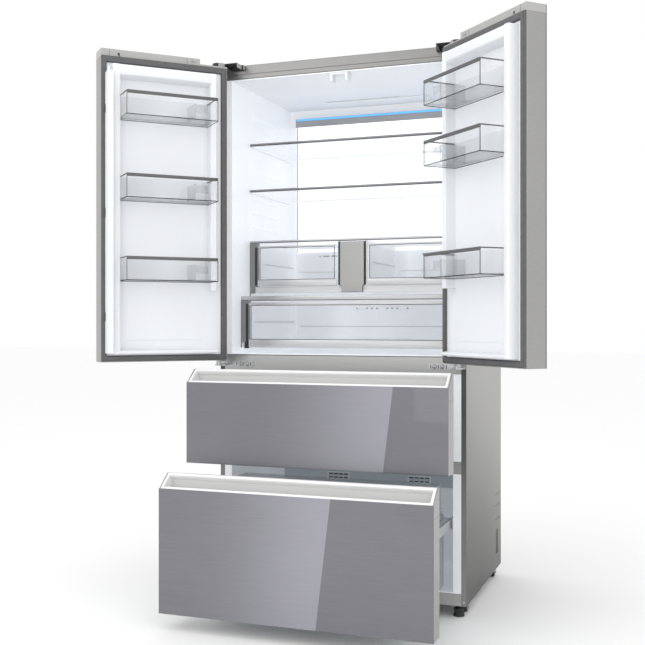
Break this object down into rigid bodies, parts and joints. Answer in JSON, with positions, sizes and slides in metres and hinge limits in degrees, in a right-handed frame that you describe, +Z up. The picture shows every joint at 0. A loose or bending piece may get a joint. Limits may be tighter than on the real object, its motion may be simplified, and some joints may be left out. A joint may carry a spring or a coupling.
{
  "type": "french door refrigerator",
  "caption": "Free-standing refrigerator with two hinged doors over two pull-out freezer drawers, standing open, with shelves, crispers, door bins and a folding centre strip.",
  "frame": {"origin": "on the floor, on the centre line, midway between the face of the pulled-out lower drawer and the back of the cabinet", "axes": "+Z up, the doors and drawers face -Y, +X to the right seen from the front"},
  "size_m": [1.5136, 1.103, 1.905],
  "materials": {
    "aluminium": "satin",
    "black_rubber": "matte",
    "brushed_tank": "satin",
    "clear_plastic": "gloss",
    "dark_plastic": "matte",
    "dark_steel": "satin",
    "foam": "matte",
    "foamed_core": "satin",
    "frame_steel": "satin",
    "front_glass": "gloss",
    "gasket": "matte",
    "grey_plastic": "satin",
    "shelf_glass": "gloss",
    "side_steel": "satin",
    "steel": "satin",
    "white_plastic": "satin",
    "zinc_steel": "satin"
  },
  "bodies": {
    "cabinet": {"left_side_panel": "side_steel", "right_side_panel": "side_steel", "top_panel": "side_steel", "rear_panel": "side_steel", "compressor_cover": "dark_steel", "base_tray": "zinc_steel", "front_frame": "frame_steel", "fridge_liner": "white_plastic", "freezer_liner": "white_plastic", "foam_fill": "foam", "duct_panel": "white_plastic", "freezer_duct": "grey_plastic", "strip_guide": "white_plastic", "ceiling_lamp": "white_plastic", "glass_shelves": "shelf_glass", "drawer_frame": "grey_plastic", "compressor": "dark_steel", "evaporator": "aluminium", "top_hinges": "steel", "hinge_covers": "grey_plastic", "middle_hinges": "zinc_steel", "fixed_slides": "zinc_steel"},
    "fan": {"fan": "white_plastic"},
    "left_crisper": {"left_crisper": "clear_plastic"},
    "right_crisper": {"right_crisper": "clear_plastic"},
    "water_tank": {"water_tank": "brushed_tank"},
    "wide_drawer": {"wide_drawer": "clear_plastic"},
    "left_foot": {"left_foot": "black_rubber"},
    "right_foot": {"right_foot": "black_rubber"},
    "front_rollers": {"front_rollers": "black_rubber"},
    "rear_rollers": {"rear_rollers": "black_rubber"},
    "middle_drawer": {"middle_glass": "front_glass", "middle_handle": "white_plastic", "middle_core": "foamed_core", "middle_gasket": "gasket", "middle_basket": "clear_plastic", "middle_slides": "zinc_steel"},
    "middle_slide_links": {"middle_slide_links": "zinc_steel"},
    "lower_drawer": {"lower_glass": "front_glass", "lower_handle": "white_plastic", "lower_core": "foamed_core", "lower_gasket": "gasket", "lower_bin": "clear_plastic", "lower_slides": "zinc_steel"},
    "lower_slide_links": {"lower_slide_links": "zinc_steel"},
    "lower_tray": {"lower_tray": "clear_plastic"},
    "left_door": {"left_door_glass": "front_glass", "left_door_body": "foamed_core", "left_door_cap": "grey_plastic", "left_door_liner": "white_plastic", "left_door_gasket": "gasket", "left_door_bins": "clear_plastic", "strip_hinges": "dark_plastic"},
    "centre_strip": {"centre_strip": "white_plastic"},
    "right_door": {"right_door_glass": "front_glass", "right_door_body": "foamed_core", "right_door_cap": "grey_plastic", "right_door_liner": "white_plastic", "right_door_gasket": "gasket", "right_door_bins": "clear_plastic"}
  },
  "joints": [
    {"name": "left_door_swing", "type": "hinge", "parent": "cabinet", "child": "left_door", "pos_m": [-0.4315, -0.152, 1.376], "axis": [0, 0, -1], "range_deg": [-135, 0]},
    {"name": "right_door_swing", "type": "hinge", "parent": "cabinet", "child": "right_door", "pos_m": [0.4315, -0.152, 1.376], "axis": [0, 0, 1], "range_deg": [-135, 0]},
    {"name": "strip_fold", "type": "hinge", "parent": "left_door", "child": "centre_strip", "pos_m": [-0.68394, -0.48575, 1.349], "axis": [0, 0, 1], "range_deg": [-90, 0]},
    {"name": "middle_drawer_slide", "type": "slide", "parent": "cabinet", "child": "middle_drawer", "axis": [0, -1, 0], "range_m": [-0.18, 0.24]},
    {"name": "middle_slide_link", "type": "slide", "parent": "cabinet", "child": "middle_slide_links", "axis": [0, -1, 0], "range_m": [-0.09, 0.12]},
    {"name": "lower_drawer_slide", "type": "slide", "parent": "cabinet", "child": "lower_drawer", "axis": [0, -1, 0], "range_m": [-0.369, 0.05]},
    {"name": "lower_slide_link", "type": "slide", "parent": "cabinet", "child": "lower_slide_links", "axis": [0, -1, 0], "range_m": [-0.1845, 0.025]},
    {"name": "lower_tray_slide", "type": "slide", "parent": "lower_drawer", "child": "lower_tray", "axis": [0, 1, 0], "range_m": [0, 0.1]},
    {"name": "wide_drawer_slide", "type": "slide", "parent": "cabinet", "child": "wide_drawer", "axis": [0, -1, 0], "range_m": [0, 0.33]},
    {"name": "left_crisper_slide", "type": "slide", "parent": "cabinet", "child": "left_crisper", "axis": [0, -1, 0], "range_m": [0, 0.28]},
    {"name": "right_crisper_slide", "type": "slide", "parent": "cabinet", "child": "right_crisper", "axis": [0, -1, 0], "range_m": [0, 0.28]},
    {"name": "water_tank_slide", "type": "slide", "parent": "cabinet", "child": "water_tank", "axis": [0, -1, 0], "range_m": [0, 0.2]},
    {"name": "left_foot_turn", "type": "hinge", "parent": "cabinet", "child": "left_foot", "pos_m": [-0.418, -0.0665, 0], "axis": [0, 0, 1], "continuous": true},
    {"name": "right_foot_turn", "type": "hinge", "parent": "cabinet", "child": "right_foot", "pos_m": [0.418, -0.0665, 0], "axis": [0, 0, 1], "continuous": true},
    {"name": "front_rollers_spin", "type": "hinge", "parent": "cabinet", "child": "front_rollers", "pos_m": [0, -0.0125, 0.0175], "axis": [1, 0, 0], "continuous": true},
    {"name": "rear_rollers_spin", "type": "hinge", "parent": "cabinet", "child": "rear_rollers", "pos_m": [0, 0.4915, 0.0165], "axis": [1, 0, 0], "continuous": true},
    {"name": "fan_spin", "type": "hinge", "parent": "cabinet", "child": "fan", "pos_m": [0.2025, 0.4215, 0.409], "axis": [0, 1, 0], "continuous": true}
  ],
  "couplings": [
    {"joint": "strip_fold", "follows": "left_door_swing", "ratio": 0.66667},
    {"joint": "middle_slide_link", "follows": "middle_drawer_slide", "ratio": 0.5},
    {"joint": "lower_slide_link", "follows": "lower_drawer_slide", "ratio": 0.5}
  ]
}
